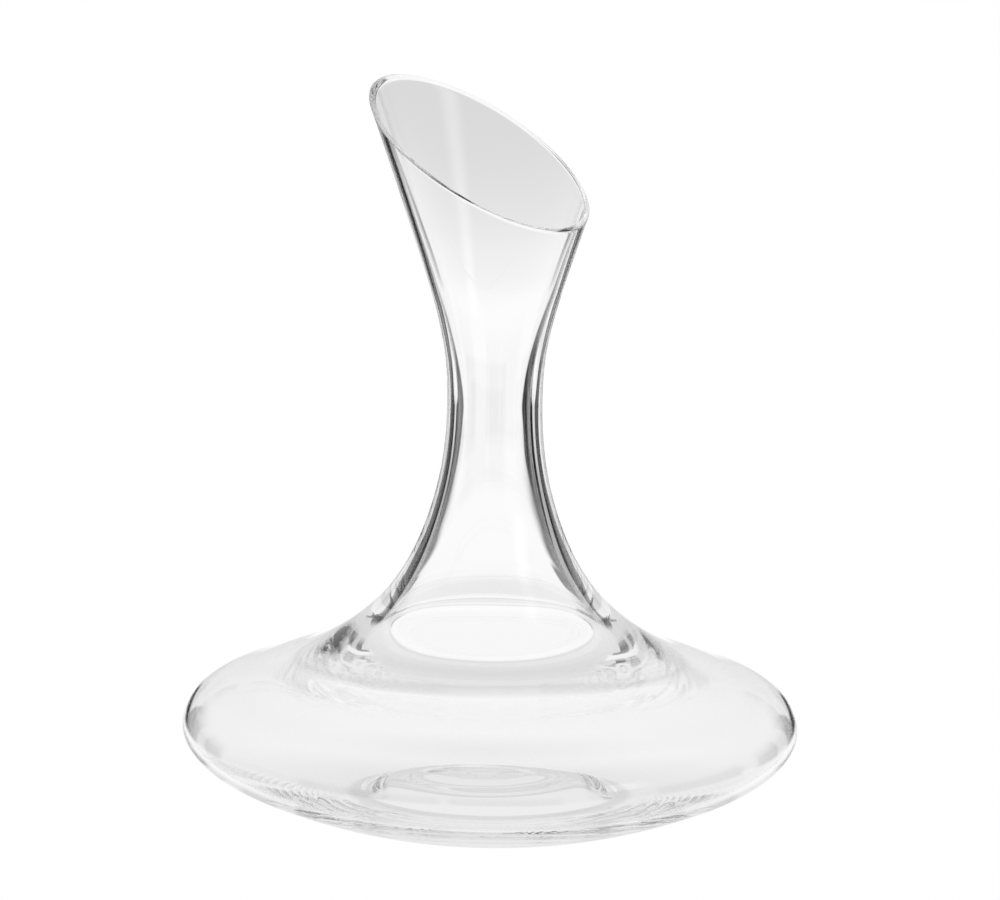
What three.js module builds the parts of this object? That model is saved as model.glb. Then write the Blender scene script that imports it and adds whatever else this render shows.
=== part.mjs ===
// Wine decanter of clear blown glass: a wide, low bowl with a pushed-up base (the punt), a slender neck, and
// a flared mouth cut off at a slant. Millimetres, +Z up, origin on the bowl's axis at the surface that it
// stands on. The glass is one wall. It is divided here into the zones that a glassmaker names, which meet
// face to face.
import * as THREE from "three";

// Driving dimensions.
const BOWL_RADIUS = 110;
const FOOT_INNER_RADIUS = 45;
const FOOT_OUTER_RADIUS = 49;
const PUNT_HEIGHT = 12.6;
const THROAT_RADIUS = 16.8;
const THROAT_HEIGHT = 144.5;

// The slanted cut across the mouth: its height on the axis, its lean from level, and the direction that its
// low side faces, turned from +X.
const CUT_HEIGHT = 228.5;
const CUT_LEAN = THREE.MathUtils.degToRad(33);
const CUT_TURN = THREE.MathUtils.degToRad(-41);

// The lip is the last few millimetres of wall below the cut, with bevelled edges.
const LIP_DEPTH = 3;
const LIP_BEVEL = 0.8;
const LIP_FLAT_SHARE = 0.5;

// How finely the curves are faceted.
const SEGMENTS = 36;
const STEPS_PER_STATION = 2;
const FLARE_STEPS = 9;
const HALVINGS = 40;

// The outer face from the middle of the punt's underside, over the foot and the bowl, up the neck and out
// along the mouth: the radius, the height, and the wall's thickness there. A named station starts a zone.
const STATIONS = [
  { zone: "punt", radius: 0, height: PUNT_HEIGHT, wall: 3.6 },
  { radius: 13, height: PUNT_HEIGHT - 0.1, wall: 3.6 },
  { radius: 24, height: PUNT_HEIGHT - 0.8, wall: 3.6 },
  { radius: 32, height: PUNT_HEIGHT - 2.8, wall: 3.8 },
  { radius: 37.5, height: 6.4, wall: 4.2 },
  { zone: "foot_ring", radius: 41.5, height: 2.5, wall: 4.6 },
  { radius: FOOT_INNER_RADIUS, height: 0, wall: 5 },
  { radius: FOOT_OUTER_RADIUS, height: 0, wall: 5 },
  { zone: "bowl_lower", radius: 57, height: 1.2, wall: 4.4 },
  { radius: 66, height: 3.6, wall: 3.8 },
  { radius: 80, height: 8.6, wall: 3 },
  { radius: 93.5, height: 14.6, wall: 2.3 },
  { radius: 104.5, height: 21.3, wall: 1.8 },
  { zone: "bowl_upper", radius: BOWL_RADIUS, height: 30, wall: 1.7 },
  { radius: 107.2, height: 38.4, wall: 1.7 },
  { radius: 103.2, height: 42.1, wall: 1.7 },
  { radius: 97.5, height: 44.6, wall: 1.8 },
  { radius: 92, height: 46.5, wall: 2 },
  { radius: 87, height: 48.5, wall: 2.2 },
  { zone: "shoulder", radius: 79, height: 51.6, wall: 2.5 },
  { radius: 71, height: 54.2, wall: 3.1 },
  { radius: 66.5, height: 56.3, wall: 3.5 },
  { radius: 62, height: 58.6, wall: 4.1 },
  { radius: 56, height: 62.2, wall: 5.2 },
  { radius: 50, height: 66.3, wall: 7.2 },
  { radius: 45, height: 70.5, wall: 7.8 },
  { radius: 40, height: 75.3, wall: 6.4 },
  { radius: 35, height: 81.6, wall: 5.3 },
  { zone: "neck", radius: 30.2, height: 89.2, wall: 4.8 },
  { radius: 22.8, height: 106.5, wall: 4.4 },
  { radius: 18.4, height: 124.5, wall: 4.2 },
  { radius: THROAT_RADIUS, height: THROAT_HEIGHT, wall: 4.1 },
  { radius: 17.9, height: 164, wall: 3.2 },
  { zone: "mouth_flare", radius: 22.5, height: 183.5, wall: 2.3 },
  { radius: 28.7, height: 203, wall: 2 },
  { radius: 35.5, height: 223, wall: 2 },
  { radius: 41.8, height: 241, wall: 2 },
  { radius: 48.2, height: 259, wall: 2 },
  { radius: 51.5, height: 268, wall: 2 },
];

const outline = new THREE.CatmullRomCurve3(
  STATIONS.map(({ radius, height }) => new THREE.Vector3(radius, height, 0)),
  false,
  "centripetal",
);
const LAST_STATION = STATIONS.length - 1;
const ZONE_STARTS = STATIONS.map(({ zone }, station) => ({ zone, station })).filter(({ zone }) => zone);
const FLARE_START = ZONE_STARTS.at(-1).station;

// The outer face at a station number, which may lie between two stations.
function outerFace(station) {
  const point = outline.getPoint(station / LAST_STATION);
  return new THREE.Vector2(Math.max(point.x, 0), Math.max(point.y, 0));
}

// The inner face stands off the outer one by the wall's thickness, square to the outline.
function innerFace(station) {
  const tangent = outline.getTangent(station / LAST_STATION);
  const below = Math.min(Math.floor(station), LAST_STATION - 1);
  const wall = THREE.MathUtils.lerp(STATIONS[below].wall, STATIONS[below + 1].wall, station - below);
  const outer = outerFace(station);
  const radius = station === 0 ? 0 : outer.x - tangent.y * wall;
  return new THREE.Vector2(radius, outer.y + tangent.x * wall);
}

// Station numbers from one station to another, in even steps.
function steps(from, to, count) {
  return Array.from({ length: count + 1 }, (_, i) => THREE.MathUtils.lerp(from, to, i / count));
}

// A ring or dome of the wall between two stations, as the closed outline of its cross-section.
function wallSection(from, to) {
  const stations = steps(from, to, (to - from) * STEPS_PER_STATION);
  const outer = stations.map(outerFace);
  const inner = stations.map(innerFace).reverse();
  const closing = from === 0 ? [] : [outer[0].clone()];
  return [...outer, ...inner, ...closing];
}

// How far a point of the wall at an angle around the axis stands above the cut.
function heightAboveCut(point, angle) {
  const towardsLowSide = point.x * Math.cos(angle - CUT_TURN);
  return towardsLowSide * Math.sin(CUT_LEAN) + (point.y - CUT_HEIGHT) * Math.cos(CUT_LEAN);
}

// The station at which a face of the wall comes up to the cut, or to a given depth below it.
function stationAtCut(face, angle, depth) {
  let low = FLARE_START;
  let high = LAST_STATION;
  for (let i = 0; i < HALVINGS; i++) {
    const middle = (low + high) / 2;
    if (heightAboveCut(face(middle), angle) < -depth) low = middle;
    else high = middle;
  }
  return low;
}

function pointAtCut(face, angle, depth) {
  return face(stationAtCut(face, angle, depth));
}

// The mouth's wall at one angle, from the top of the neck to the underside of the lip.
function flareSection(angle) {
  const outer = steps(FLARE_START, stationAtCut(outerFace, angle, LIP_DEPTH), FLARE_STEPS).map(outerFace);
  const inner = steps(FLARE_START, stationAtCut(innerFace, angle, LIP_DEPTH), FLARE_STEPS).map(innerFace);
  return [...outer, ...inner.reverse(), outer[0].clone()];
}

// The lip at one angle: its two sides, a bevel at each edge, and the flat ground top between them.
function lipSection(angle) {
  const outerTop = pointAtCut(outerFace, angle, 0);
  const innerTop = pointAtCut(innerFace, angle, 0);
  const bevelShare = (1 - LIP_FLAT_SHARE) / 2;
  const outerFoot = pointAtCut(outerFace, angle, LIP_DEPTH);
  return [
    outerFoot,
    pointAtCut(outerFace, angle, LIP_BEVEL),
    outerTop.clone().lerp(innerTop, bevelShare),
    innerTop.clone().lerp(outerTop, bevelShare),
    pointAtCut(innerFace, angle, LIP_BEVEL),
    pointAtCut(innerFace, angle, LIP_DEPTH),
    outerFoot.clone(),
  ];
}

// A lathed solid, +Z up, whose cross-section may change with the angle around the axis.
function turned(sectionAt) {
  const pointCount = sectionAt(0).length;
  const geometry = new THREE.LatheGeometry(sectionAt(0), SEGMENTS);
  const position = geometry.getAttribute("position");
  for (let column = 0; column <= SEGMENTS; column++) {
    const angle = ((column % SEGMENTS) / SEGMENTS) * Math.PI * 2;
    sectionAt(angle).forEach((point, row) => {
      const x = point.x * Math.cos(angle);
      const y = point.x * Math.sin(angle);
      position.setXYZ(column * pointCount + row, x, y, point.y);
    });
  }
  geometry.computeVertexNormals();
  return geometry;
}

const glass = { color: 0xf1f4f3, roughness: 0.03, metalness: 0 };
const decanter = new THREE.Group();

function addZone(name, geometry) {
  const mesh = new THREE.Mesh(geometry, new THREE.MeshStandardMaterial(glass));
  mesh.name = name;
  decanter.add(mesh);
}

for (let i = 0; i < ZONE_STARTS.length - 1; i++) {
  const section = wallSection(ZONE_STARTS[i].station, ZONE_STARTS[i + 1].station);
  const sameAllRound = () => section;
  addZone(ZONE_STARTS[i].zone, turned(sameAllRound));
}
addZone("mouth_flare", turned(flareSection));
addZone("lip", turned(lipSection));

export default decanter;
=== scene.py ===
import math

import bpy
import numpy as np
from mathutils import Matrix, Vector


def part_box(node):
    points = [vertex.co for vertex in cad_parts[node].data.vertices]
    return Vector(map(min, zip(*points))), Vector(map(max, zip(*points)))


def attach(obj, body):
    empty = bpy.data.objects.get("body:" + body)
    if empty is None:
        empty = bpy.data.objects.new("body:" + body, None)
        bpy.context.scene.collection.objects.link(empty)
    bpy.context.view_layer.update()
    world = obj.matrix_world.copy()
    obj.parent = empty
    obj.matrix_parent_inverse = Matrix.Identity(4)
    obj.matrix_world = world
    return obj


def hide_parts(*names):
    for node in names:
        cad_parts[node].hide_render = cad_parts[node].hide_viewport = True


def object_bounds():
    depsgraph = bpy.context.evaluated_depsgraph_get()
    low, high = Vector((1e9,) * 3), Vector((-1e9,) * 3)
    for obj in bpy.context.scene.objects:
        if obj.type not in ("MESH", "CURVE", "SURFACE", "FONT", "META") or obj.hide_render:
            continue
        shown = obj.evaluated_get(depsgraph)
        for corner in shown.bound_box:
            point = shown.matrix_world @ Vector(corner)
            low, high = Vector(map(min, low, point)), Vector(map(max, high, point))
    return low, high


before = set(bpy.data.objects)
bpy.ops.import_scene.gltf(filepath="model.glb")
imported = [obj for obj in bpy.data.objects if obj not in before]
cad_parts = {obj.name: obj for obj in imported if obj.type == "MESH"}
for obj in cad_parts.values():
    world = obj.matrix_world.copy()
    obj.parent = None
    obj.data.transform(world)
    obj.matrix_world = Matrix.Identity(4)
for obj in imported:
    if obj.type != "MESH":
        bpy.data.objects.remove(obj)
cad_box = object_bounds()

# ----------------------------------------------------------------------------------------------------------
# Sizes. The outline below is in millimetres for a bowl of NOMINAL_RADIUS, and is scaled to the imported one.
# ----------------------------------------------------------------------------------------------------------
NOMINAL_RADIUS = 110.0
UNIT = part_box("bowl_upper")[1].x / NOMINAL_RADIUS
FLOOR_LEVEL = cad_box[0].z

# The cut across the mouth: the plane's height on the axis, its lean, and where its low side faces from +X.
CUT_LEAN = math.radians(33)
CUT_TURN = math.radians(-41)
CUT_HEIGHT = 228.5

# The lip: how far it rounds off above the walls, and the power that shapes its section: 1 is round, and lower
# is squarer.
LIP_ROUND = 0.9
LIP_SECTION = 0.6

# Outer face from the middle of the punt's underside to beyond the lip: radius, height, wall thickness.
STATIONS = [
    (0, 12.6, 3.6), (13, 12.5, 3.6), (24, 11.8, 3.6), (32, 9.8, 3.8), (37.5, 6.4, 4.2), (41.5, 2.5, 4.6),
    (45, 0, 5.0), (49, 0, 5.0), (57, 1.2, 4.4), (66, 3.6, 3.8), (80, 8.6, 3.0), (93.5, 14.6, 2.3),
    (104.5, 21.3, 1.8), (110, 30, 1.7), (107.2, 38.4, 1.7), (103.2, 42.1, 1.7), (97.5, 44.6, 1.8),
    (92, 46.5, 2.0), (87, 48.5, 2.2), (79, 51.6, 2.5), (71, 54.2, 3.1), (66.5, 56.3, 3.5), (62, 58.6, 4.1),
    (56, 62.2, 5.2), (50, 66.3, 7.2), (45, 70.5, 7.8), (40, 75.3, 6.4), (35, 81.6, 5.3), (30.2, 89.2, 4.8),
    (22.8, 106.5, 4.4), (18.4, 124.5, 4.2), (16.8, 144.5, 3.9), (17.9, 164, 2.8), (22.5, 183.5, 2.1),
    (28.7, 203, 2.0), (35.5, 223, 2.0), (41.8, 241, 2.0), (48.2, 259, 2.0), (51.5, 268, 2.0),
]
THROAT_HEIGHT = 144.5

# Above this height the rows follow the slanted cut; below it they are level.
FLARE_HEIGHT = 176

# Smoothing along the outline, of the curve itself and of the wall's thickness: the widths of the bells, which
# end at BELL_REACH widths, and the number of places at which the outline is worked out.
CURVE_SOFTNESS = 2.0
WALL_SOFTNESS = 3.0
BELL_REACH = 4
FINE_STEPS = 4000

# Mesh density: columns round the axis, and the spacing of rows along the outline as (arc length, spacing).
# The flare's rows crowd together towards the lip.
COLUMNS = 192
ROW_SPACING = [(0, 1.2), (30, 0.9), (60, 0.9), (75, 1.8), (120, 1.4), (150, 1.2), (165, 1.5),
               (185, 1.1), (215, 1.3), (250, 2.6), (420, 3.0)]
FLARE_ROWS = 34
FLARE_CROWDING = 1.25
LIP_ROWS = 12

# How the inside of the blown wall strays from its even thickness, as shares of it. Two waves run along the
# outline, as (share, length, swing, lobes, start, phase): a wave swings to and fro as it goes round the axis,
# in that many lobes. A swell winds round the wall. The neck is thicker on one side, from NECK_BEGINS before
# the throat, and the punt has rings, as far as PUNT_END. Each fades in over its blend, and nothing strays on
# the axis itself. Distances are along the outline, and a whole wave is 2 pi lengths.
WAVES = [(0.010, 17, 1.3, 1, 0.4, 0), (0.012, 9.5, 2, 2, 1.1, 0.7)]
SWELL_SHARE = 0.010
SWELL_LOBES = 3
SWELL_LENGTH = 31
NECK_SHARE = 0.04
NECK_BEGINS = 80
NECK_BLEND = 60
PUNT_SHARE = 0.09
PUNT_LENGTH = 3.2
PUNT_SWING = (0.8, 1, 0.8)
PUNT_END = 52
PUNT_BLEND = 12
AXIS_BLEND = 20


# ----------------------------------------------------------------------------------------------------------
# The outline
# ----------------------------------------------------------------------------------------------------------
def natural_spline(knots, values, at):
    """A natural cubic spline through values at knots, read at the given places."""
    knots, values = np.asarray(knots, float), np.asarray(values, float)
    count, gap = len(knots), np.diff(knots)
    system = np.zeros((count, count))
    target = np.zeros((count,) + values.shape[1:])
    system[0, 0] = system[-1, -1] = 1
    for i in range(1, count - 1):
        system[i, i - 1 : i + 2] = gap[i - 1], 2 * (gap[i - 1] + gap[i]), gap[i]
        target[i] = 6 * ((values[i + 1] - values[i]) / gap[i] - (values[i] - values[i - 1]) / gap[i - 1])
    bend = np.linalg.solve(system, target)
    piece = np.clip(np.searchsorted(knots, at, side="right") - 1, 0, count - 2)
    length = gap[piece][:, None]
    near, far = (knots[piece + 1] - at)[:, None] / length, (at - knots[piece])[:, None] / length
    straight = near * values[piece] + far * values[piece + 1]
    return straight + ((near**3 - near) * bend[piece] + (far**3 - far) * bend[piece + 1]) * length**2 / 6


def softened(curve, step, width):
    """The curve averaged along its length with a bell of that width, which uses up its carried-on ends."""
    reach = int(BELL_REACH * width / step)
    bell = np.exp(-0.5 * (np.arange(-reach, reach + 1) * step / width) ** 2)
    bell /= bell.sum()
    return np.convolve(curve, bell, "valid")


def make_outline():
    """Arc lengths, the outer face as (radius, height), the way inwards from it, and the wall's thickness."""
    points = np.array([(r, z) for r, z, _ in STATIONS], float)
    arc = np.r_[0, np.cumsum(np.hypot(*np.diff(points, axis=0).T))]
    at = np.linspace(0, arc[-1], FINE_STEPS)
    step = at[1]
    curve = natural_spline(arc, points, at)
    reach = int(BELL_REACH * CURVE_SOFTNESS / step)
    mirrored = curve[1 : reach + 1][::-1] * (-1, 1)
    onward = curve[-1] + (curve[-1] - curve[-2]) * np.arange(1, reach + 1)[:, None]
    carried = np.vstack([mirrored, curve, onward])
    outer = np.stack([softened(side, step, CURVE_SOFTNESS) for side in carried.T], axis=-1)
    outer[:, 1] = np.maximum(outer[:, 1], 0)
    wall = np.interp(at, arc, [w for _, _, w in STATIONS])
    reach = int(BELL_REACH * WALL_SOFTNESS / step)
    wall = softened(np.pad(wall, reach, mode="edge"), step, WALL_SOFTNESS)
    heading = np.gradient(outer, axis=0)
    heading /= np.hypot(*heading.T)[:, None]
    inward = np.c_[-heading[:, 1], heading[:, 0]]
    return at, outer, inward, wall


def rows_along(end_arc):
    """Arc lengths of the rows from the axis to end_arc, spaced by ROW_SPACING."""
    places, spacing = zip(*ROW_SPACING)
    rows, at = [0.0], 0.0
    while True:
        at += float(np.interp(at, places, spacing))
        if at >= end_arc:
            return np.array(rows + [end_arc])
        rows.append(at)


ARC, OUTER, INWARD, WALL = make_outline()
FLARE_ARC = float(ARC[np.argmax(OUTER[:, 1] > FLARE_HEIGHT)])
THROAT_ARC = float(ARC[np.argmax(OUTER[:, 1] > THROAT_HEIGHT)])
BODY_ROWS = rows_along(FLARE_ARC)


def at_arc(values, arcs):
    """Pairs of values along the outline, read at these arc lengths."""
    return np.c_[np.interp(arcs, ARC, values[:, 0]), np.interp(arcs, ARC, values[:, 1])]


def swung(angle, swing, lobes, start):
    """How far a wave is swung along the outline at an angle round the axis."""
    return swing * math.sin(lobes * angle + start)


def wall_waves(arcs, angle):
    """How far the blown wall's inside strays from its even thickness, as a share of it."""
    off_axis = np.clip(arcs / AXIS_BLEND, 0, 1)
    in_punt = np.clip(arcs / PUNT_BLEND, 0, 1) * np.clip((PUNT_END - arcs) / PUNT_BLEND, 0, 1)
    in_neck = np.clip((arcs - THROAT_ARC + NECK_BEGINS) / NECK_BLEND, 0, 1)
    waves = 0.0
    for share, length, swing, lobes, start, phase in WAVES:
        waves = waves + share * np.sin(arcs / length + swung(angle, swing, lobes, start) + phase)
    waves = waves + SWELL_SHARE * np.sin(SWELL_LOBES * angle + arcs / SWELL_LENGTH)
    waves = waves + NECK_SHARE * in_neck * math.cos(angle)
    rings = PUNT_SHARE * in_punt * np.sin(arcs / PUNT_LENGTH + swung(angle, *PUNT_SWING))
    return rings + waves * off_axis


def face_points(arcs, angle, share):
    """Points of the wall at these arc lengths: share 0 is the outer face and 1 the inner."""
    wall = np.interp(arcs, ARC, WALL) * (1 + wall_waves(arcs, angle))
    return at_arc(OUTER, arcs) + at_arc(INWARD, arcs) * (wall * share)[:, None]


def cut_arc(share, angle, below):
    """The arc length at which a face of the wall comes to that depth below the cut."""
    arcs = ARC[ARC >= FLARE_ARC]
    points = face_points(arcs, angle, share)
    lean = points[:, 0] * math.cos(angle - CUT_TURN) * math.sin(CUT_LEAN)
    above = lean + (points[:, 1] - CUT_HEIGHT) * math.cos(CUT_LEAN) + below
    i = int(np.argmax(above > 0))
    return arcs[i] - (arcs[i] - arcs[i - 1]) * above[i] / (above[i] - above[i - 1])


def lip_points(outer_end, inner_end, up):
    """The lip's rounded section, from the end of the outer face over to the end of the inner one."""
    middle, half = (outer_end + inner_end) / 2, (inner_end - outer_end) / 2
    turn = np.linspace(0, math.pi, LIP_ROWS + 2)[1:-1]
    across = np.sign(np.cos(turn)) * np.abs(np.cos(turn)) ** LIP_SECTION
    return middle - half * across[:, None] + up * (LIP_ROUND * np.sin(turn) ** LIP_SECTION)[:, None]


def profile(angle):
    """The whole wall at one angle: up the outer face, over the lip and down the inner face."""
    sides = []
    for share in (0, 1):
        end = cut_arc(share, angle, LIP_ROUND)
        crowded = 1 - (1 - np.linspace(0, 1, FLARE_ROWS)) ** FLARE_CROWDING
        flare = FLARE_ARC + (end - FLARE_ARC) * crowded
        sides.append(face_points(np.r_[BODY_ROWS[:-1], flare], angle, share))
    outer, inner = sides
    up = outer[-1] - outer[-2]
    up /= np.hypot(*up)
    points = np.vstack([outer, lip_points(outer[-1], inner[-1], up), inner[::-1]])
    points[0, 0] = points[-1, 0] = 0
    return points


# ----------------------------------------------------------------------------------------------------------
# Node helpers
# ----------------------------------------------------------------------------------------------------------
class Nodes:
    """Short calls that add nodes to one tree and link them."""

    def __init__(self, tree):
        self.tree = tree

    def add(self, kind, **settings):
        node = self.tree.nodes.new(kind)
        for name, value in settings.items():
            setattr(node, name, value)
        return node

    def link(self, source, target):
        self.tree.links.new(source, target)

    def put(self, socket, value):
        """Link the value to the socket if it is one itself, or else set it."""
        if isinstance(value, bpy.types.NodeSocket):
            self.link(value, socket)
        else:
            socket.default_value = value

    def math(self, operation, *values):
        node = self.add("ShaderNodeMath", operation=operation)
        for socket, value in zip(node.inputs, values):
            self.put(socket, value)
        return node.outputs[0]

    def smooth(self, value, low, high, at_low=0.0, at_high=1.0):
        """A soft step of the value, from at_low where it is low to at_high where it is high."""
        node = self.add("ShaderNodeMapRange", interpolation_type="SMOOTHSTEP")
        for socket, number in zip(node.inputs, (value, low, high, at_low, at_high)):
            self.put(socket, number)
        return node.outputs[0]

    def unless_camera_ray(self, value):
        """The value, or 1 where the camera looks straight at the place."""
        path = self.add("ShaderNodeLightPath")
        mix = self.add("ShaderNodeMix", data_type="FLOAT")
        self.link(path.outputs["Is Camera Ray"], mix.inputs[0])
        self.put(mix.inputs[2], value)
        mix.inputs[3].default_value = 1.0
        return mix.outputs[0]


# ----------------------------------------------------------------------------------------------------------
# The glass
# ----------------------------------------------------------------------------------------------------------
GLASS_IOR = 1.5
# The lip's grinding marks: how far down they reach from the cut, their waves a metre along each turned axis,
# and the roughness that they give.
RIM_MARK_DEPTH = 0.0010
GRINDING_WAVES = (1500, 120, 120)
GRINDING_TURN = (0.5, 0.4, 0.3)
GRINDING_RANGE = (0.4, 0.6)
GRINDING_ROUGHNESS = (0.03, 0.14)
# The rings from the blowing: how high the bump stands, their waves a metre along each axis, and the heights
# between which they weaken to a last share.
RING_HEIGHT = 0.00002
RING_WAVES = (6, 6, 150)
RINGS_FADE = (0.03, 0.06)
RINGS_LEFT = 0.1


def build_glass():
    """One closed mesh of the wall: a grid of columns round the axis, closed by fans at the punt's middle."""
    angles = np.arange(COLUMNS) * (2 * math.pi / COLUMNS)
    grid = np.array([profile(angle) for angle in angles])
    radius, height = grid[..., 0], grid[..., 1]
    cosine, sine = np.cos(angles)[:, None], np.sin(angles)[:, None]
    spun = np.stack([radius * cosine, radius * sine, height], axis=-1) * UNIT
    spun[..., 2] += FLOOR_LEVEL
    rows = grid.shape[1]
    verts = [spun[:, 0].mean(axis=0)]
    verts += [spun[column, row] for row in range(1, rows - 1) for column in range(COLUMNS)]
    verts.append(spun[:, -1].mean(axis=0))

    def index(row, column):
        return 1 + (row - 1) * COLUMNS + column % COLUMNS

    faces = []
    for column in range(COLUMNS):
        faces.append((0, index(1, column + 1), index(1, column)))
        faces.append((len(verts) - 1, index(rows - 2, column), index(rows - 2, column + 1)))
    for row in range(1, rows - 2):
        for column in range(COLUMNS):
            lower = index(row, column), index(row, column + 1)
            upper = index(row + 1, column + 1), index(row + 1, column)
            faces.append(lower + upper)
    mesh = bpy.data.meshes.new("decanter_glass")
    mesh.from_pydata([tuple(vert) for vert in verts], [], faces)
    mesh.update()
    mesh.polygons.foreach_set("use_smooth", [True] * len(mesh.polygons))
    glass = bpy.data.objects.new("decanter_glass", mesh)
    bpy.context.scene.collection.objects.link(glass)
    return glass


def ripples(n, place, turned, waves, detail):
    """Noise drawn out along some of its turned axes, by the waves a metre along each."""
    stretch = n.add("ShaderNodeMapping")
    stretch.inputs["Rotation"].default_value = turned
    stretch.inputs["Scale"].default_value = waves
    n.link(place, stretch.inputs["Vector"])
    noise = n.add("ShaderNodeTexNoise")
    noise.inputs["Scale"].default_value = 1.0
    noise.inputs["Detail"].default_value = detail
    n.link(stretch.outputs[0], noise.inputs["Vector"])
    return noise.outputs[0]


def rim_mask(n, place):
    """1 on the lip's ground edge and 0 below it."""
    depth = n.add("ShaderNodeVectorMath", operation="DOT_PRODUCT")
    n.link(place, depth.inputs[0])
    lean = math.sin(CUT_LEAN)
    cut_normal = (lean * math.cos(CUT_TURN), lean * math.sin(CUT_TURN), math.cos(CUT_LEAN))
    depth.inputs[1].default_value = cut_normal
    rim_level = CUT_HEIGHT * math.cos(CUT_LEAN) * UNIT
    return n.smooth(depth.outputs["Value"], rim_level - RIM_MARK_DEPTH, rim_level - RIM_MARK_DEPTH / 2)


def glass_material():
    """Clear glass with faint rings from the blowing, and a rim with the marks of its grinding."""
    material = bpy.data.materials.new("clear_blown_glass")
    material.use_nodes = True
    shader = material.node_tree.nodes["Principled BSDF"]
    shader.inputs["Base Color"].default_value = (1, 1, 1, 1)
    shader.inputs["IOR"].default_value = GLASS_IOR
    shader.inputs["Transmission Weight"].default_value = 1.0
    n = Nodes(material.node_tree)
    place = n.add("ShaderNodeTexCoord").outputs["Object"]
    axes = n.add("ShaderNodeSeparateXYZ")
    n.link(place, axes.inputs[0])
    rim = rim_mask(n, place)
    grinding = ripples(n, place, GRINDING_TURN, GRINDING_WAVES, detail=2)
    roughness = n.smooth(grinding, *GRINDING_RANGE, *GRINDING_ROUGHNESS)
    n.link(n.math("MULTIPLY", rim, roughness), shader.inputs["Roughness"])
    rings = ripples(n, place, (0, 0, 0), RING_WAVES, detail=1)
    rings = n.math("MULTIPLY", rings, n.smooth(axes.outputs["Z"], *RINGS_FADE, 1.0, RINGS_LEFT))
    bump = n.add("ShaderNodeBump")
    bump.inputs["Distance"].default_value = RING_HEIGHT
    n.link(n.math("ADD", rings, n.math("MULTIPLY", rim, grinding)), bump.inputs["Height"])
    n.link(bump.outputs[0], shader.inputs["Normal"])
    return material


glass = build_glass()
glass.data.materials.append(glass_material())
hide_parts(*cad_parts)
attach(glass, "root")

# ----------------------------------------------------------------------------------------------------------
# Floor
# ----------------------------------------------------------------------------------------------------------
FLOOR_RADIUS = 0.3
FLOOR_CORNERS = 96
FLOOR_GAP = 0.0002
# How brightly the floor shows in the glass, how much the bowl shades it underneath, and how much more the
# foot ring does where it stands: each as a share, with the soft edges' distances from the middle. The floor
# fades out before its own edge.
FLOOR_GLOW = 0.98
BOWL_SHADE = 0.13
BOWL_SHADE_EDGE = (0.05, 0.12)
FOOT_SHADE = 0.2
FOOT_SHADE_INNER_EDGE = (0.041, 0.045)
FOOT_SHADE_OUTER_EDGE = (0.049, 0.053)
FLOOR_FADE = (0.2, 0.28)


def floor_material():
    """A pale floor that lights itself, plain white to the camera and softly shaded in the glass."""
    material = bpy.data.materials.new("pale_floor")
    material.use_nodes = True
    material.node_tree.nodes.clear()
    n = Nodes(material.node_tree)
    place = n.add("ShaderNodeNewGeometry").outputs["Position"]
    length = n.add("ShaderNodeVectorMath", operation="LENGTH")
    n.link(place, length.inputs[0])
    distance = length.outputs["Value"]
    foot_shade = n.smooth(distance, *FOOT_SHADE_INNER_EDGE, 0.0, FOOT_SHADE)
    foot_shade = n.math("MULTIPLY", foot_shade, n.smooth(distance, *FOOT_SHADE_OUTER_EDGE, 1.0, 0.0))
    shade = n.math("ADD", foot_shade, n.smooth(distance, *BOWL_SHADE_EDGE, BOWL_SHADE, 0.0))
    seen = n.math("MULTIPLY", FLOOR_GLOW, n.math("SUBTRACT", 1.0, shade))
    light = n.add("ShaderNodeEmission")
    n.link(n.unless_camera_ray(seen), light.inputs["Strength"])
    clear = n.add("ShaderNodeBsdfTransparent")
    mix = n.add("ShaderNodeMixShader")
    n.link(n.smooth(distance, *FLOOR_FADE), mix.inputs[0])
    n.link(light.outputs[0], mix.inputs[1])
    n.link(clear.outputs[0], mix.inputs[2])
    out = n.add("ShaderNodeOutputMaterial")
    n.link(mix.outputs[0], out.inputs["Surface"])
    return material


def build_floor():
    """A flat disc just under the decanter's foot."""
    mesh = bpy.data.meshes.new("floor")
    ring = [2 * math.pi * i / FLOOR_CORNERS for i in range(FLOOR_CORNERS)]
    level = FLOOR_LEVEL - FLOOR_GAP
    corners = [(FLOOR_RADIUS * math.cos(angle), FLOOR_RADIUS * math.sin(angle), level) for angle in ring]
    mesh.from_pydata(corners, [], [tuple(range(FLOOR_CORNERS))])
    mesh.materials.append(floor_material())
    floor = bpy.data.objects.new("floor", mesh)
    bpy.context.scene.collection.objects.link(floor)
    return floor


build_floor()

# ----------------------------------------------------------------------------------------------------------
# Light: a bright tent with soft dark flags, which draw the glass's edges
# ----------------------------------------------------------------------------------------------------------
# All turns are in degrees from straight behind the decanter, positive towards +X, and heights are the sine of
# the angle above the level. A soft edge is given by its two ends.
SHARP_EDGE = 1
SOFT_EDGE = 5
# The backdrop's level below and above a soft edge: it dims towards the top.
BACKDROP_LEVELS = (1.0, 0.70)
BACKDROP_EDGE = (-0.16, -0.045)
# On each side behind stands a tall dark flag with a bright slit: side, the turn where the flag starts near
# the table and higher up, the slit's turn and half width. The slit is wider and brighter near the table.
SIDE_FLAGS = [(-1, (18, 27), 48, 4), (1, (14, 27), 43.5, 5.5)]
FLAG_START_EDGE = (-0.2, -0.08)
FLAG_END = 63
SLIT_LEVELS = (0.95, 0.7)
SLIT_WIDENING = 5
SLIT_EDGE = (-0.28, -0.22)
# Plain dark flags beside and in front: turn and half width.
FRONT_FLAGS = [(-135, 25), (96, 18), (174, 18)]
# How dark all these flags are, and their soft bottom and top.
FLAG_DARKNESS = 0.985
FLAG_BOTTOM = (-0.41, -0.36)
FLAG_TOP = (0.05, 0.35)
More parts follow.
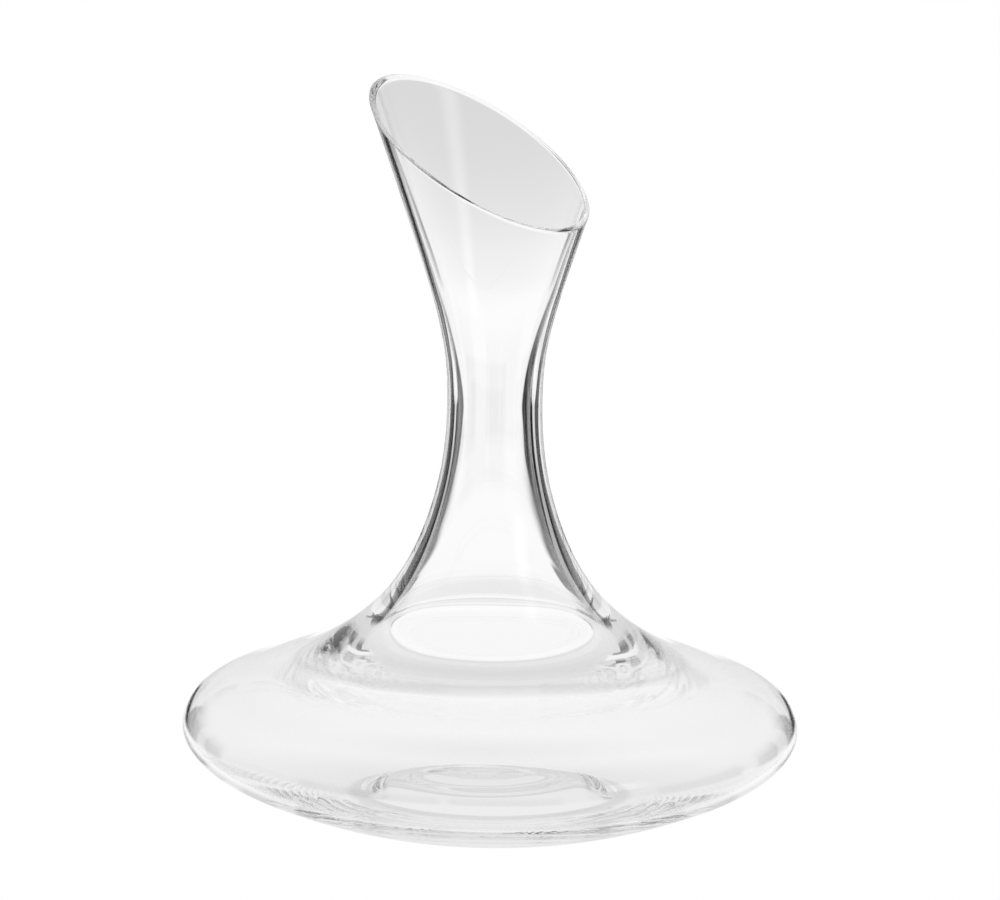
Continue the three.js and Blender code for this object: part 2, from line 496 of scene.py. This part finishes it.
# A low dark strip behind on each side, which draws the bowl's thin outline. Its near end slants outwards.
STRIP_DARKNESS = 0.95
STRIP_BOTTOM = (-0.18, -0.13)
STRIP_TOP = (-0.06, 0.0)
STRIP_NEAR_END = (9.5, 14)
STRIP_SLANT = (-0.16, -0.08)
STRIP_FAR_END = (25, 35)
# A tall soft lamp in front, to the right.
LAMP_TURN = 128
LAMP_HALF_WIDTH = 16
LAMP_BOTTOM = (0.3, 0.36)
LAMP_TOP = (0.56, 0.62)
LAMP_LEVEL = 1.0


def turn_from(n, turn, centre):
    """How far a turn is from a centre, to either side."""
    return n.math("ARCCOSINE", n.math("COSINE", n.math("SUBTRACT", turn, math.radians(centre))))


def soft_edge(n, turn, ends, *levels):
    """A soft edge between two turns."""
    return n.smooth(turn, math.radians(ends[0]), math.radians(ends[1]), *levels)


def slanted_edge(n, turn, z, heights, turns, *levels):
    """A sharp edge that moves from one turn to another between two heights."""
    edge = n.smooth(z, *heights, math.radians(turns[0]), math.radians(turns[1]))
    return soft_edge(n, n.math("SUBTRACT", turn, edge), (-SHARP_EDGE, SHARP_EDGE), *levels)


def side_flag(n, turn, z, side, starts, slit, slit_half):
    """The tall flag on one side behind, with its bright slit cut out of it."""
    off = n.math("MULTIPLY", turn, side)
    flag = slanted_edge(n, off, z, FLAG_START_EDGE, starts)
    flag = n.math("MULTIPLY", flag, soft_edge(n, off, (FLAG_END, FLAG_END + SOFT_EDGE), 1.0, 0.0))
    halves = (slit_half + SLIT_WIDENING, slit_half)
    gap = slanted_edge(n, turn_from(n, off, slit), z, SLIT_EDGE, halves, 1.0, 0.0)
    gap = n.math("MULTIPLY", gap, n.smooth(z, *SLIT_EDGE, *SLIT_LEVELS))
    return n.math("MULTIPLY", flag, n.math("SUBTRACT", 1.0, gap))


def all_flags(n, turn, z):
    """How dark the flags make a direction."""
    flags = 0.0
    for side_settings in SIDE_FLAGS:
        flags = n.math("MAXIMUM", flags, side_flag(n, turn, z, *side_settings))
    for centre, half in FRONT_FLAGS:
        flag = soft_edge(n, turn_from(n, turn, centre), (half, half + SOFT_EDGE), 1.0, 0.0)
        flags = n.math("MAXIMUM", flags, flag)
    flags = n.math("MULTIPLY", flags, n.smooth(z, *FLAG_BOTTOM, 0.0, FLAG_DARKNESS))
    return n.math("MULTIPLY", flags, n.smooth(z, *FLAG_TOP, 1.0, 0.0))


def outline_strips(n, turn, z):
    """How dark the two low strips make a direction."""
    aside = turn_from(n, turn, 0)
    strip = n.smooth(z, *STRIP_BOTTOM, 0.0, STRIP_DARKNESS)
    strip = n.math("MULTIPLY", strip, n.smooth(z, *STRIP_TOP, 1.0, 0.0))
    strip = n.math("MULTIPLY", strip, slanted_edge(n, aside, z, STRIP_SLANT, STRIP_NEAR_END))
    return n.math("MULTIPLY", strip, soft_edge(n, aside, STRIP_FAR_END, 1.0, 0.0))


def lamp_light(n, turn, z):
    """What the lamp adds in a direction."""
    across = soft_edge(n, turn_from(n, turn, LAMP_TURN), (0, LAMP_HALF_WIDTH), LAMP_LEVEL, 0.0)
    upright = n.math("MULTIPLY", n.smooth(z, *LAMP_BOTTOM), n.smooth(z, *LAMP_TOP, 1.0, 0.0))
    return n.math("MULTIPLY", across, upright)


def light_level(n, turn, z):
    """How bright the tent is in a direction."""
    level = n.smooth(z, *BACKDROP_EDGE, *BACKDROP_LEVELS)
    for dark in (all_flags(n, turn, z), outline_strips(n, turn, z)):
        level = n.math("MULTIPLY", level, n.math("SUBTRACT", 1.0, dark))
    return n.math("ADD", level, lamp_light(n, turn, z))


def build_world():
    """The tent around the decanter, which the camera itself sees as plain white."""
    world = bpy.data.worlds.new("studio")
    bpy.context.scene.world = world
    world.use_nodes = True
    world.node_tree.nodes.clear()
    n = Nodes(world.node_tree)
    direction = n.add("ShaderNodeTexCoord").outputs["Generated"]
    axes = n.add("ShaderNodeSeparateXYZ")
    n.link(direction, axes.inputs[0])
    x, y, z = axes.outputs
    level = light_level(n, n.math("ARCTAN2", x, y), z)
    background = n.add("ShaderNodeBackground")
    background.inputs["Color"].default_value = (1, 1, 1, 1)
    n.link(n.unless_camera_ray(level), background.inputs["Strength"])
    out = n.add("ShaderNodeOutputWorld")
    n.link(background.outputs[0], out.inputs[0])


build_world()

# ----------------------------------------------------------------------------------------------------------
# Camera
# ----------------------------------------------------------------------------------------------------------
CAMERA_DISTANCE = 1.0
CAMERA_PITCH = math.radians(9.5)
CAMERA_ROLL = 0.0152
TARGET_HEIGHT = 0.131
SENSOR_WIDTH = 36
LENS_LENGTH = 103.27
LENS_SHIFT = (0.0058, -0.0056)


def build_camera():
    """A long lens in front, a little above the decanter's middle, looking slightly down."""
    data = bpy.data.cameras.new("camera")
    camera = bpy.data.objects.new("camera", data)
    bpy.context.scene.collection.objects.link(camera)
    target = Vector((0, 0, TARGET_HEIGHT))
    place = Vector((0, -CAMERA_DISTANCE, TARGET_HEIGHT + CAMERA_DISTANCE * math.tan(CAMERA_PITCH)))
    forward = (target - place).normalized()
    right = Vector((1, 0, 0))
    upright = Matrix((right, right.cross(forward), -forward)).transposed()
    turned = upright @ Matrix.Rotation(CAMERA_ROLL, 3, "Z")
    camera.matrix_world = Matrix.Translation(place) @ turned.to_4x4()
    data.sensor_width = SENSOR_WIDTH
    data.lens = LENS_LENGTH
    data.shift_x, data.shift_y = LENS_SHIFT
    bpy.context.scene.camera = camera


build_camera()

# Light runs a long way inside the lip and the foot, so few bounces would turn them black.
LIGHT_BOUNCES = 60
scene = bpy.context.scene
scene.view_settings.view_transform = "Standard"
scene.cycles.max_bounces = LIGHT_BOUNCES
scene.cycles.transmission_bounces = LIGHT_BOUNCES
scene.cycles.glossy_bounces = LIGHT_BOUNCES
